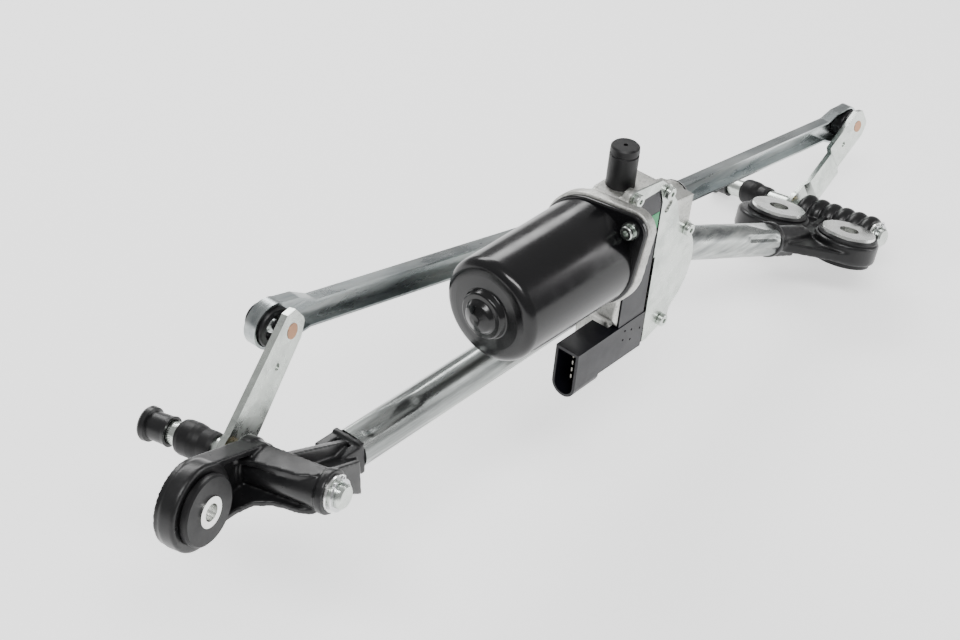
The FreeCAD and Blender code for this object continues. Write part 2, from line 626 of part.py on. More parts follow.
def flange_plate(x0, x1, grow):
    """Round flange drawn out to two diagonal screw ears."""
    disc = (MOTOR_Y, MOTOR_Z, 29.8 + grow)
    shapes = [cyl_x(disc[2], x0, x1, MOTOR_Y, MOTOR_Z)]
    for sy, sz in ((-1, 1), (1, -1)):
        ear = (MOTOR_Y + sy * EAR, MOTOR_Z + sz * EAR, 8.8 + grow)
        corners = [V(x0, y, z) for y, z in tangent_corners(disc, ear)]
        corners.append(corners[0])
        shapes.append(Part.Face(Part.makePolygon(corners)).extrude(V(x1 - x0, 0, 0)))
        shapes.append(cyl_x(ear[2], x0, x1, ear[0], ear[1]))
    return fuse(*shapes)


def motor_magnets():
    ring = cyl_x(CAN_R - CAN_WALL - 0.1, 186, 226, MOTOR_Y, MOTOR_Z)
    ring = ring.cut(cyl_x(CAN_R - CAN_WALL - 5.6, 186, 226, MOTOR_Y, MOTOR_Z))
    gap = box(185, 227, MOTOR_Y - 40, MOTOR_Y + 40, MOTOR_Z - 7, MOTOR_Z + 7)
    return ring.cut(gap)


def armature_shaft():
    """Motor shaft with the worm cut on its gear end; runs from the can boss to the end cap."""
    body = revolve_x([(169, 0), (169, 3.6), (170, 4.0), (283, 4.0), (284, 5.4), (314, 5.4), (315, 4.0),
                      (320, 4.0), (321.4, 2), (321.4, 0)], MOTOR_Y, MOTOR_Z)
    helix = Part.makeHelix(WORM_PITCH, 30, 5.35)
    tooth = Part.makePolygon([V(4.4, 0, -0.4), V(6.2, 0, -0.9), V(6.2, 0, 0.9), V(4.4, 0, 0.4), V(4.4, 0, -0.4)])
    groove = Part.Wire(helix.Edges).makePipeShell([tooth], True, True)
    turn = FreeCAD.Placement(V(284, MOTOR_Y, MOTOR_Z), FreeCAD.Rotation(Y_AXIS, 90))
    return body.cut(placed(groove, turn))


def armature_core():
    """Laminated core with twelve slots."""
    core = cyl_x(19.6, 188, 224, MOTOR_Y, MOTOR_Z).cut(cyl_x(4.0, 187, 225, MOTOR_Y, MOTOR_Z))
    slots = []
    for i in range(12):
        slot = fuse(box(187, 225, MOTOR_Y - 0.9, MOTOR_Y + 0.9, MOTOR_Z + 16, MOTOR_Z + 21),
                    cyl_x(2.6, 187, 225, MOTOR_Y, MOTOR_Z + 14.6))
        slot.rotate(V(0, MOTOR_Y, MOTOR_Z), V(1, 0, 0), i * 30)
        slots.append(slot)
    return core.cut(Part.makeCompound(slots))


def armature_windings():
    """Copper end turns on both faces of the core."""
    heads = []
    for x0, x1 in ((179, 187.9), (224.1, 230.5)):
        heads.append(revolve_x([(x0, 9), (x0 - 0.0, 13), (x0 + 1.5, 16), (x1 - 1, 17.2), (x1, 17.2), (x1, 4.1),
                                (x0 + 2, 4.1)], MOTOR_Y, MOTOR_Z))
    return Part.makeCompound(heads)


def commutator():
    body = cyl_x(9.5, 231, 243, MOTOR_Y, MOTOR_Z).cut(cyl_x(4.0, 230, 244, MOTOR_Y, MOTOR_Z))
    cuts = []
    for i in range(12):
        groove = box(230, 244, MOTOR_Y - 0.25, MOTOR_Y + 0.25, MOTOR_Z + 8.6, MOTOR_Z + 10)
        groove.rotate(V(0, MOTOR_Y, MOTOR_Z), V(1, 0, 0), i * 30 + 15)
        cuts.append(groove)
    return body.cut(Part.makeCompound(cuts))


def brush_card():
    """Plastic brush holder plate with two box guides, seated in the mouth of the can."""
    plate = cyl_x(CAN_R - CAN_WALL - 0.1, 244.5, 247.5, MOTOR_Y, MOTOR_Z)
    plate = plate.cut(cyl_x(8, 244, 248, MOTOR_Y, MOTOR_Z))
    guides = []
    for sign in (-1, 1):
        y0, y1 = sorted((MOTOR_Y + sign * 11, MOTOR_Y + sign * 23))
        shell = box(235, 244.6, y0, y1, MOTOR_Z - 5, MOTOR_Z + 5)
        guides.append(shell.cut(box(236.2, 243.4, y0 - 1, y1 + 1, MOTOR_Z - 3.6, MOTOR_Z + 3.6)))
    return fuse(plate, *guides)


def carbon_brushes():
    brushes = []
    for sign in (-1, 1):
        y0, y1 = sorted((MOTOR_Y + sign * (9.5 + CONTACT_GAP), MOTOR_Y + sign * 21))
        brushes.append(box(236.4, 243.2, y0, y1, MOTOR_Z - 3.4, MOTOR_Z + 3.4))
    return Part.makeCompound(brushes)


def shaft_bearings():
    """Sintered bushes: one in the can boss, one at the mouth of the gear housing, one at the worm end."""
    bushes = []
    for x0, x1, r_out in ((168.1, 172.5, 7.6), (260, 268, 7.0), (315.5, 320.5, 6.5)):
        bush = cyl_x(r_out, x0, x1, MOTOR_Y, MOTOR_Z)
        bushes.append(bush.cut(cyl_x(4.0 + BUSH_CLEARANCE, x0 - 1, x1 + 1, MOTOR_Y, MOTOR_Z)))
    return Part.makeCompound(bushes)


def flange_screws():
    """Two flanged screws that pull the can onto the gear housing."""
    screws = []
    for sy, sz in ((-1, 1), (1, -1)):
        y, z = MOTOR_Y + sy * EAR, MOTOR_Z + sz * EAR
        screws.append(pan_screw_x(FLANGE_X - 2.5, y, z, 4.7, 4.2, 2.4, 12))
    return Part.makeCompound(screws)


def pan_screw_x(face_x, y, z, head_r, head_h, shank_r, length):
    """Screw driven along +X with its head on face_x."""
    flange = cyl_x(head_r, face_x - 1.2, face_x, y, z)
    head = cyl_x(head_r * 0.78, face_x - head_h, face_x - 1.2, y, z)
    head = round_edges(head, 0.8, circle_edges(head_r * 0.78))
    recess = cyl_x(head_r * 0.36, face_x - head_h - 1, face_x - head_h + 2.2, y, z)
    return fuse(flange, head, cyl_x(shank_r, face_x, face_x + length, y, z)).cut(recess)


# ---------------------------------------------------------------- gear housing
def gear_housing():
    """Cast gear housing: motor flange, worm tunnel, wheel chamber, output boss and tube saddles."""
    front, back = COVER_Y, HOUSING_BACK_Y
    flange = flange_plate(FLANGE_X, FLANGE_X + 6, 1.2)
    block = slab_xz([(FLANGE_X + 5, 8), (FLANGE_X + 5, 52), (PEG_X - 11, PEG_BASE_Z), (288, PEG_BASE_Z),
                     (307, 36), (322, 34), (322, 15)], front, back - 3)
    tunnel = cyl_x(10.2, FLANGE_X + 5, 324, MOTOR_Y, MOTOR_Z)
    drum = cyl_y(31.0, front, back, WHEEL_X, WHEEL_Z)
    corner = slab_xz([(268, 20), (262, -20), (282, -45), (316, -47), (318, -30), (310, 10)], front, back)
    boss = fuse(cyl_y(10.5, back - 1, 20.5, WHEEL_X, WHEEL_Z), cyl_y(14, back - 1, 4, WHEEL_X, WHEEL_Z))
    body = fuse(flange, block, tunnel, drum, corner, boss)
    for angle in (-25, -65, -105, -145, 172):
        rib = box(9, 30.5, back - 1, 3, -1.5, 1.5)
        rib.rotate(V(0, 0, 0), Y_AXIS, angle)
        body = body.fuse(placed(rib, frame((WHEEL_X, 0, WHEEL_Z))))
    for x, z in COVER_SCREWS:
        body = body.fuse(cyl_y(4.4, front, front + 5, x, z))
    saddle_front = TUBE_START[1] - TUBE_D / 2
    for x0, x1 in ((268, 280), (318, 330)):
        body = body.fuse(box(x0, x1, -22, saddle_front - 0.1, TUBE_START[2] - 8, TUBE_START[2] + 14))
    chamber = cyl_y(28.8, -29.0, -9.5, WHEEL_X, WHEEL_Z)
    open_face = cyl_y(28.8, front - 1, -28, WHEEL_X, WHEEL_Z)
    shaft_bore = cyl_y(7.8, -12, 21, WHEEL_X, WHEEL_Z)
    worm_bore = fuse(cyl_x(6.2, FLANGE_X - 1, 322.5, MOTOR_Y, MOTOR_Z),
                     cyl_x(7.0, 260, 268, MOTOR_Y, MOTOR_Z),
                     cyl_x(6.5, 315.5, 325, MOTOR_Y, MOTOR_Z),
                     cyl_x(20, FLANGE_X - 1, FLANGE_X + 4.5, MOTOR_Y, MOTOR_Z))
    tray = box(TRAY_X[0] - 0.2, TRAY_X[1] + 0.2, front - 2, TRAY_BACK + 0.2, TRAY_Z[0] - 0.2, TRAY_Z[1] + 0.2)
    plug_room = fuse(box(CONNECTOR_X[0] - 5, CONNECTOR_DEEP_X + 0.2, front - 5, CONNECTOR_BACK + 0.2,
                         CONNECTOR_BOTTOM - 5, CONNECTOR_TOP + 0.2),
                     box(CONNECTOR_X[0] - 5, CONNECTOR_X[1] + 0.2, front - 5, TRAY_BACK + 0.2,
                         CONNECTOR_BOTTOM - 5, CONNECTOR_TOP + 0.2))
    body = cut(body, chamber, open_face, shaft_bore, worm_bore, tray, plug_room)
    for x, z in COVER_SCREWS:
        body = body.cut(cyl_y(1.9, front - 1, front + 4.5, x, z))
    for sy, sz in ((-1, 1), (1, -1)):
        body = body.cut(cyl_x(2.4, FLANGE_X - 1, FLANGE_X + 9.6, MOTOR_Y + sy * EAR, MOTOR_Z + sz * EAR))
    body = body.cut(cyl_z(4.0, PEG_BASE_Z - 14, PEG_BASE_Z + 1, PEG_X, MOTOR_Y))
    for x, z in CLAMP_SCREWS:
        body = body.cut(cyl_y(2.5, -14, saddle_front, x, z))
    return body.removeSplitter()


TRAY_X, TRAY_Z, TRAY_BACK = (267.5, 290.0), (-28.0, 51.5), -26.2
CONNECTOR_X = (233.5, 291.4)
CONNECTOR_DEEP_X = 264.0
CONNECTOR_BACK, CONNECTOR_FRONT = -16.0, -31.0
CONNECTOR_TOP, CONNECTOR_BOTTOM = -27.5, -57.8
COVER_SCREWS = [(264.6, 55.5), (293.6, 47.5), (307.0, -40.5), (318.5, 14.0)]
CLAMP_SCREWS = [(274.0, TUBE_START[2]), (324.0, TUBE_START[2])]


def output_bush():
    bush = cyl_y(7.8, -9, 20.5).cut(cyl_y(6.0 + BUSH_CLEARANCE, -10, 21))
    return placed(bush, frame((WHEEL_X, 0, WHEEL_Z)))


def worm_end_cap():
    """Pressed plug that closes the worm tunnel and takes the shaft thrust."""
    return revolve_x([(321.6, 0), (321.6, 6.5), (325.2, 6.5), (325.2, 9.6), (326.8, 8.6), (327.4, 5), (327.4, 0)],
                     MOTOR_Y, MOTOR_Z)


def gear_cover():
    """Thin plated cover over the wheel chamber, with a frame around the electronics window."""
    y0, y1 = COVER_Y - 1.0, COVER_Y
    disc = cyl_y(30.6, y0, y1, WHEEL_X, WHEEL_Z)
    plate = slab_xz([(260.5, 0), (260.5, 58.5), (263, 60.2), (287, 57.3), (291.6, 53.6), (305, 36.8),
                     (309.5, 22.8), (324, 10.5), (320.5, -27), (312.5, -41.5), (306.6, -45.5), (296, -49),
                     (292, -49), (292, 0)], y0, y1)
    body = fuse(disc, plate)
    window = slab_xz([(267, -60), (290.3, -60), (290.3, 43), (286.8, 52), (270, 52), (267, 49.5)], y0 - 1, y1 + 1)
    strip = box(240, 291.7, y0 - 1, y1 + 1, -60, 8)
    oval = fuse(cyl_y(2.2, y0 - 1, y1 + 1, 295.5, 36.4), cyl_y(2.2, y0 - 1, y1 + 1, 297.5, 39))
    body = cut(body, window, strip, oval)
    for x, z in COVER_SCREWS:
        body = body.fuse(cyl_y(4.4, y0, y1, x, z)).cut(cyl_y(2.1, y0 - 1, y1 + 1, x, z))
    return body.removeSplitter()


def cover_screws():
    screws = []
    for x, z in COVER_SCREWS:
        head = round_edges(cyl_y(3.6, COVER_Y - 4.2, COVER_Y - 1.0, x, z), 0.8, circle_edges(3.6))
        recess = cyl_y(1.4, COVER_Y - 5, COVER_Y - 2.4, x, z)
        screws.append(fuse(head, cyl_y(1.9, COVER_Y - 1.0, COVER_Y + 4.5, x, z)).cut(recess))
    return Part.makeCompound(screws)


def electronics_housing():
    """Black plastic tray behind the cover window, carrying the cable socket below the motor."""
    front, back = COVER_Y - 0.6, TRAY_BACK
    tray = box(TRAY_X[0], TRAY_X[1] - 0.3, front, back, TRAY_Z[0], TRAY_Z[1])
    tray = tray.cut(slab_xz([(TRAY_X[0] - 1, 60), (TRAY_X[0] - 1, 49), (TRAY_X[0] + 3, 51), (TRAY_X[0] + 8, 60)],
                            front - 1, back + 1))
    tray = tray.cut(slab_xz([(286.5, 52), (292, 52), (292, 42.0), (288.6, 43.4)], front - 1, back + 1))
    width = CONNECTOR_BACK - CONNECTOR_FRONT
    middle = (CONNECTOR_BACK + CONNECTOR_FRONT) / 2
    r = width / 2
    x0, x1 = CONNECTOR_X
    block = fuse(box(x0, x1 - 0.3, CONNECTOR_FRONT, CONNECTOR_BACK, CONNECTOR_BOTTOM + r, CONNECTOR_TOP),
                 cyl_x(r, x0, x1 - 0.3, middle, CONNECTOR_BOTTOM + r))
    step = slab_xz([(254, -60), (254, -50.3), (292, -50.8), (292, -60)], -40, 0)
    block = block.cut(step).cut(box(CONNECTOR_DEEP_X, x1, TRAY_BACK, CONNECTOR_BACK + 1, -60, 0))
    socket = fuse(box(x0 - 1, x0 + 17, CONNECTOR_FRONT + 1.6, CONNECTOR_BACK - 1.6, CONNECTOR_BOTTOM + r,
                      CONNECTOR_TOP - 1.8),
                  cyl_x(r - 1.6, x0 - 1, x0 + 17, middle, CONNECTOR_BOTTOM + r))
    dimples = [cyl_y(0.7, CONNECTOR_FRONT - 1, CONNECTOR_FRONT + 0.8, x, z)
               for x, z in ((274, -32), (280, -34), (273, -37.5), (280, -40.5), (288, -37))]
    board_room = box(TRAY_X[0] + 1.5, TRAY_X[1] - 1.8, -29.6, back + 1, TRAY_Z[0] + 2, 42)
    return cut(fuse(tray, block), socket, board_room, *dimples)


def circuit_board():
    board = box(TRAY_X[0] + 2, TRAY_X[1] - 2.3, -29.0, -27.6, TRAY_Z[0] + 3, 41)
    chips = [box(271, 278, -27.6, -26.4, 18, 26), box(279, 286, -27.6, -26.6, -2, 10),
             box(271, 276, -27.6, -26.5, -12, -6)]
    return fuse(board, *chips)


def connector_pins():
    middle = (CONNECTOR_BACK + CONNECTOR_FRONT) / 2
    pins = []
    for z in (-33.5, -38, -42.5, -47):
        pins.append(box(CONNECTOR_X[0] + 5, CONNECTOR_X[0] + 26, middle - 1.2, middle - 0.4, z - 1.2, z + 1.2))
    return Part.makeCompound(pins)


def cut_pin_slots(housing):
    """Slots in the socket floor that hold the connector pins."""
    return housing.cut(connector_pins())


def type_label():
    return box(277.5, 289.2, COVER_Y - 0.75, COVER_Y - 0.6, 27.5, 37.5)


def mounting_peg():
    core = cyl_z(4.0, PEG_BASE_Z - 13.5, PEG_TOP_Z - 4.5, PEG_X, MOTOR_Y)
    return core


def peg_sleeve():
    """Rubber sleeve pressed over the mounting peg, with a groove near the top and a vent hole."""
    profile = [(4.0, PEG_BASE_Z), (7.6, PEG_BASE_Z), (7.6, PEG_TOP_Z - 5.2), (7.0, PEG_TOP_Z - 4.8),
               (7.0, PEG_TOP_Z - 4.0), (7.6, PEG_TOP_Z - 3.6), (7.4, PEG_TOP_Z - 0.8), (6.6, PEG_TOP_Z),
               (1.2, PEG_TOP_Z), (1.2, PEG_TOP_Z - 4.5), (4.0, PEG_TOP_Z - 4.5)]
    points = [V(r, 0, z) for r, z in profile]
    points.append(points[0])
    solid = Part.Face(Part.makePolygon(points)).revolve(V(0, 0, 0), V(0, 0, 1), 360)
    return placed(solid, FreeCAD.Placement(V(PEG_X, MOTOR_Y, 0), FreeCAD.Rotation()))


def frame_clamp_screws():
    """Two screws through the tube into the saddles of the gear housing."""
    screws = []
    back = TUBE_START[1] + TUBE_D / 2
    for x, z in CLAMP_SCREWS:
        head = cyl_y(4.5, back + 0.1, back + 3.6, x, z)
        shank = cyl_y(2.5, -13.5, back + 0.2, x, z)
        screws.append(fuse(head, shank).cut(cyl_y(1.8, back + 1.8, back + 4, x, z)))
    return Part.makeCompound(screws)


# ---------------------------------------------------------------- build and write every piece
LEFT_INNER, LEFT_OUTER = -60.0, 48.5
RIGHT_INNER, RIGHT_OUTER = -69.0, 69.0


def spindle_set(side, pivot, inner, outer, barrel, collar):
    shaft = spindle(inner, outer, inner + 3.4)
    save("spindle_" + side, placed(shaft, pivot))
    save("transport_cap_" + side, placed(transport_cap(outer), pivot))
    save("shaft_collar_" + side, placed(shaft_collar(*collar), pivot))
    save("thrust_washer_" + side, placed(washer(8.8, SPINDLE_D / 2, barrel[0] - 1.6, barrel[0] - 0.1), pivot))
    save("circlip_" + side, placed(circlip(inner + 2.9, inner + 3.9), pivot))
    save("bearing_bushes_" + side, bearing_pair(pivot, *barrel))


def build():
    os.makedirs("parts", exist_ok=True)
    spindle_set("left", LEFT, LEFT_INNER, LEFT_OUTER, LEFT_BARREL, (10.0, 30.0))
    spindle_set("right", RIGHT, RIGHT_INNER, RIGHT_OUTER, RIGHT_BARREL, (23.0, 44.0))
    save("lever_left", lever_left())
    save("lever_right", lever_right())
    save("ball_stud_left", lever_ball_stud(LEFT, LEFT_LEVER_R, LEFT_LEVER_ANGLE))
    save("ball_stud_right", lever_ball_stud(RIGHT, RIGHT_LEVER_R, RIGHT_LEVER_ANGLE))
    save("pivot_housing_left", left_housing())
    save("pivot_housing_right", right_housing())
    bush, sleeve = left_mount_parts()
    save("mount_bush_left", bush)
    save("mount_sleeve_left", sleeve)
    grommets, sleeves = right_mount_parts()
    save("mount_grommets_right", grommets)
    save("mount_sleeves_right", sleeves)
    tube = frame_tube()
    for x, z in CLAMP_SCREWS:
        tube = tube.cut(cyl_y(2.6, TUBE_START[1] - 20, TUBE_START[1] + 20, x, z))
    save("frame_tube", tube)
    save("frame_clamp_screws", frame_clamp_screws())

    left_length = PIN_LEFT.sub(LEFT_BALL).Length
    right_length = RIGHT_BALL.sub(PIN_RIGHT).Length
    save("link_rod_left", link_rod(LEFT_BALL, PIN_LEFT, KNOB_R))
    save("link_rod_right", link_rod(PIN_RIGHT, RIGHT_BALL, KNOB_R))
    save("ball_socket_left", socket_at(LEFT_BALL, PIN_LEFT, 0, 8.6))
    save("ball_socket_right", socket_at(PIN_RIGHT, RIGHT_BALL, right_length, 8.6))
    save("crank_socket_left", socket_at(LEFT_BALL, PIN_LEFT, left_length, 8.6))
    save("crank_socket_right", socket_at(PIN_RIGHT, RIGHT_BALL, 0, 4.4, True))
    save("crank_ball_left", crank_ball_left())
    save("crank_ball_right", crank_ball_right())
    save("crank_arm", crank_arm())
    save("crank_stud", crank_stud())
    save("crank_nut", placed(hex_nut(13, 4.0, CRANK_Y + CRANK_T, 31.6), frame((WHEEL_X, 0, WHEEL_Z))))
    save("output_shaft", output_shaft())
    save("output_bush", output_bush())
    save("worm_wheel", worm_wheel())

    save("motor_can", motor_can())
    save("motor_magnets", motor_magnets())
    save("worm_shaft", armature_shaft())
    save("armature_core", armature_core())
    save("armature_windings", armature_windings())
    save("commutator", commutator())
    save("brush_card", brush_card())
    save("carbon_brushes", carbon_brushes())
    save("shaft_bearings", shaft_bearings())
    save("flange_screws", flange_screws())
    save("gear_housing", gear_housing())
    save("worm_end_cap", worm_end_cap())
    save("gear_cover", gear_cover())
    save("cover_screws", cover_screws())
    save("electronics_housing", cut_pin_slots(electronics_housing()))
    save("circuit_board", circuit_board())
    save("connector_pins", connector_pins())
    save("type_label", type_label())
    save("peg_core", mounting_peg())
    save("peg_sleeve", peg_sleeve())


build()
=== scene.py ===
import bpy
import json
import math
from mathutils import Matrix, Vector


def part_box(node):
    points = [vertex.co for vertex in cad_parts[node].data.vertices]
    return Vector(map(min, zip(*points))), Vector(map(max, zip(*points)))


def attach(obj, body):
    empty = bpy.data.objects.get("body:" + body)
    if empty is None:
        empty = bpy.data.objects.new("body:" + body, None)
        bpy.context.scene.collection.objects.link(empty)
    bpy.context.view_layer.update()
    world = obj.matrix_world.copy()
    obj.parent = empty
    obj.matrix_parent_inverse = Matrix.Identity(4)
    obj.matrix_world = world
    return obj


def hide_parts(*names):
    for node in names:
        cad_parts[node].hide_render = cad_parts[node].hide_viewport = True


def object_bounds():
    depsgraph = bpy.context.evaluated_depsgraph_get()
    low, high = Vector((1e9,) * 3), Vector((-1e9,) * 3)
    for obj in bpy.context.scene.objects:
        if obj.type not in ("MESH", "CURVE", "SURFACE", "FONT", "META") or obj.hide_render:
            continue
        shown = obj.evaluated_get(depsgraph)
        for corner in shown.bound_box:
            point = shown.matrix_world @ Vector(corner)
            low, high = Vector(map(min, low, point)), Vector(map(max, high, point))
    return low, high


with open("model.json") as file:
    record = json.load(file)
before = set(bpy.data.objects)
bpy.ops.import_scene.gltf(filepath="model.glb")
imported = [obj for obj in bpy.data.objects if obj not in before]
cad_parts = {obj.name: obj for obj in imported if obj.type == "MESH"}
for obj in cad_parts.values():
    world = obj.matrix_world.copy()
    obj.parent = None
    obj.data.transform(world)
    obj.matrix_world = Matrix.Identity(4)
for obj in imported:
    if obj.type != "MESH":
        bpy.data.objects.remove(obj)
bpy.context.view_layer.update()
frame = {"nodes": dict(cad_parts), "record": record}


MM = 0.001  # sizes are in mm; Blender's unit is the metre


# ---------------------------------------------------------------- shader helpers
class Shader:
    """A Principled material with small helpers for adding nodes."""

    def __init__(self, name, **settings):
        self.material = bpy.data.materials.new(name)
        self.material.use_nodes = True
        self.nodes = self.material.node_tree.nodes
        self.links = self.material.node_tree.links
        self.bsdf = self.nodes["Principled BSDF"]
        for key, value in settings.items():
            self.bsdf.inputs[key.replace("_", " ")].default_value = value
        self.coords = self.nodes.new("ShaderNodeTexCoord").outputs["Object"]

    def scaled(self, scale):
        """Object coordinates, scaled along each axis."""
        node = self.nodes.new("ShaderNodeMapping")
        node.inputs["Scale"].default_value = scale
        self.links.new(self.coords, node.inputs["Vector"])
        return node.outputs["Vector"]

    def noise(self, scale, detail=4.0, stretch=(1, 1, 1), rough=0.55):
        node = self.nodes.new("ShaderNodeTexNoise")
        node.inputs["Scale"].default_value = scale
        node.inputs["Detail"].default_value = detail
        node.inputs["Roughness"].default_value = rough
        self.links.new(self.scaled(stretch), node.inputs["Vector"])
        return node.outputs["Fac"]

    def cells(self, scale):
        node = self.nodes.new("ShaderNodeTexVoronoi")
        node.inputs["Scale"].default_value = scale
        self.links.new(self.coords, node.inputs["Vector"])
        return node.outputs["Color"]

    def ramp(self, fac, stops):
        """Colours along a factor; the stops are (position, colour)."""
        node = self.nodes.new("ShaderNodeValToRGB")
        ramp = node.color_ramp
        while len(ramp.elements) < len(stops):
            ramp.elements.new(0.5)
        for element, (position, colour) in zip(ramp.elements, stops):
            element.position = position
            element.color = (*colour, 1)
        self.links.new(fac, node.inputs["Fac"])
        return node.outputs["Color"]

    def spread(self, fac, low, high, start=0.3, end=0.7):
        """The factor's range from start to end, spread over low to high."""
        node = self.nodes.new("ShaderNodeMapRange")
        node.inputs["From Min"].default_value = start
        node.inputs["From Max"].default_value = end
        node.inputs["To Min"].default_value = low
        node.inputs["To Max"].default_value = high
        self.links.new(fac, node.inputs["Value"])
        return node.outputs["Result"]

    def mix(self, fac, a, b):
        """Colour mix; each of the three is a node's output or a constant."""
        node = self.nodes.new("ShaderNodeMix")
        node.data_type = "RGBA"
        sockets = [node.inputs[0]] + [i for i in node.inputs if i.type == "RGBA"]
        for value, socket in zip((fac, a, b), sockets):
            if hasattr(value, "links"):
                self.links.new(value, socket)
            else:
                socket.default_value = value
        return [o for o in node.outputs if o.type == "RGBA"][0]

    def multiply(self, fac, a, b):
        output = self.mix(fac, a, b)
        output.node.blend_type = "MULTIPLY"
        return output

    def colour(self, output):
        self.links.new(output, self.bsdf.inputs["Base Color"])

    def roughness(self, output):
        self.links.new(output, self.bsdf.inputs["Roughness"])

    def bump(self, height, distance, strength, previous=None):
        node = self.nodes.new("ShaderNodeBump")
        node.inputs["Strength"].default_value = strength
        node.inputs["Distance"].default_value = distance
        self.links.new(height, node.inputs["Height"])
        if previous is not None:
            self.links.new(previous, node.inputs["Normal"])
        self.links.new(node.outputs["Normal"], self.bsdf.inputs["Normal"])
        return node.outputs["Normal"]


def grey(value, tint=(1.0, 1.0, 1.0)):
    """A tint made darker or lighter; plain grey without one."""
    return tuple(value * c for c in tint)


def zinc(name, light, dark, rough=(0.20, 0.36), spangle=0.25):
    """Plated or bare metal: soft mottling, faint crystal spangle, fine scratches and handling marks."""
    s = Shader(name, Metallic=1.0)
    mottle = s.ramp(s.noise(38.0, 6.0, rough=0.62), [(0.32, dark), (0.52, light), (0.72, light)])
    crystals = s.ramp(s.cells(260.0), [(0.2, grey(0.80)), (0.8, grey(1.0))])
    plated = s.multiply(spangle, mottle, crystals)
    smudge = s.ramp(s.noise(14.0, 3.0), [(0.35, grey(0.84)), (0.60, grey(1.0))])
    s.colour(s.multiply(0.6, plated, smudge))
    s.roughness(s.spread(s.noise(120.0, 5.0), *rough))
    scratches = s.noise(420.0, 2.0, (0.06, 1.0, 1.0))
    lumps = s.bump(s.noise(95.0, 3.0), 0.00004, 0.12)
    s.bump(scratches, 0.00004, 0.18, lumps)
    return s.material


def moulded(name, base, rough, grain=1500.0, depth=0.00004, shine=0.3):
    """Moulded plastic or rubber: fine grain, cloudy gloss, pale rub marks."""
    s = Shader(name, Specular_IOR_Level=shine)
    cloud = s.ramp(s.noise(34.0, 4.0), [(0.3, grey(0.72, base)), (0.7, grey(1.35, base))])
    rubs = s.ramp(s.noise(170.0, 6.0, rough=0.7), [(0.62, (0, 0, 0)), (0.74, (1, 1, 1))])
    s.colour(s.mix(rubs, cloud, (*grey(2.4, base), 1)))
    s.roughness(s.spread(s.noise(85.0, 5.0), *rough))
    waves = s.bump(s.noise(70.0, 2.0), 0.00015, 0.2)
    s.bump(s.noise(grain, 2.0), depth, 0.6, waves)
    return s.material


def cast(name):
    """Blasted die casting: matt grey with a sparkling granular skin and darker pores."""
    s = Shader(name, Metallic=1.0)
    tone = s.ramp(s.noise(55.0, 5.0), [(0.3, (0.40, 0.40, 0.38)), (0.7, (0.62, 0.62, 0.59))])
    pores = s.ramp(s.noise(950.0, 2.0), [(0.30, grey(0.55)), (0.48, grey(1.0))])
    s.colour(s.multiply(0.8, tone, pores))
    s.roughness(s.spread(s.noise(600.0, 3.0), 0.40, 0.62))
    lumps = s.bump(s.noise(180.0, 3.0), 0.0002, 0.35)
    s.bump(s.noise(1300.0, 2.0), 0.00010, 0.8, lumps)
    return s.material


def tube_zinc():
    """Drawn and zinc-plated tube: long streaks, dark draw lines and dull patches along X."""
    s = Shader("zinc_tube", Metallic=1.0)
    streaks = s.ramp(s.noise(150.0, 6.0, (0.05, 1, 1), 0.65),
                     [(0.34, (0.18, 0.19, 0.19)), (0.50, (0.36, 0.38, 0.37)), (0.66, (0.56, 0.58, 0.56))])
    patches = s.ramp(s.noise(30.0, 4.0, (0.35, 1, 1)), [(0.36, grey(0.66)), (0.58, grey(1.0))])
    s.colour(s.multiply(0.85, streaks, patches))
    s.roughness(s.spread(s.noise(90.0, 5.0, (0.2, 1, 1)), 0.17, 0.40))
    lumps = s.bump(s.noise(60.0, 3.0, (0.5, 1, 1)), 0.0003, 0.3)
    s.bump(s.noise(500.0, 2.0, (0.03, 1, 1)), 0.00005, 0.6, lumps)
    return s.material


# Where along X, in metres, the tone of the left rod gives way to that of the right rod.
ROD_TONES_MEET = (0.32, 0.40)


def rod_zinc():
    """Pressed link rods: blue-grey plating with lengthwise streaks, the left rod darker than the right."""
    s = Shader("zinc_rod", Metallic=1.0)
    streaks = s.ramp(s.noise(130.0, 6.0, (0.06, 1, 1), 0.6),
                     [(0.34, (0.40, 0.44, 0.45)), (0.52, (0.58, 0.62, 0.62)), (0.68, (0.70, 0.73, 0.72))])
    patches = s.ramp(s.noise(36.0, 4.0, (0.4, 1, 1)), [(0.36, grey(0.74)), (0.58, grey(1.0))])
    along = s.nodes.new("ShaderNodeSeparateXYZ")
    s.links.new(s.coords, along.inputs["Vector"])
    rightward = s.spread(along.outputs["X"], 0.0, 1.0, *ROD_TONES_MEET)
    # Base colour is darker on the left rod than on the right, a plain tone step along X; roughness stays the
    # same.
    left_rod_darkening = s.ramp(rightward, [(0.0, grey(0.74)), (1.0, grey(1.0))])
    s.colour(s.multiply(1.0, s.multiply(0.8, streaks, patches), left_rod_darkening))
    s.roughness(s.spread(s.noise(90.0, 5.0, (0.25, 1, 1)), 0.20, 0.40))
    s.bump(s.noise(480.0, 2.0, (0.04, 1, 1)), 0.00005, 0.6)
    return s.material


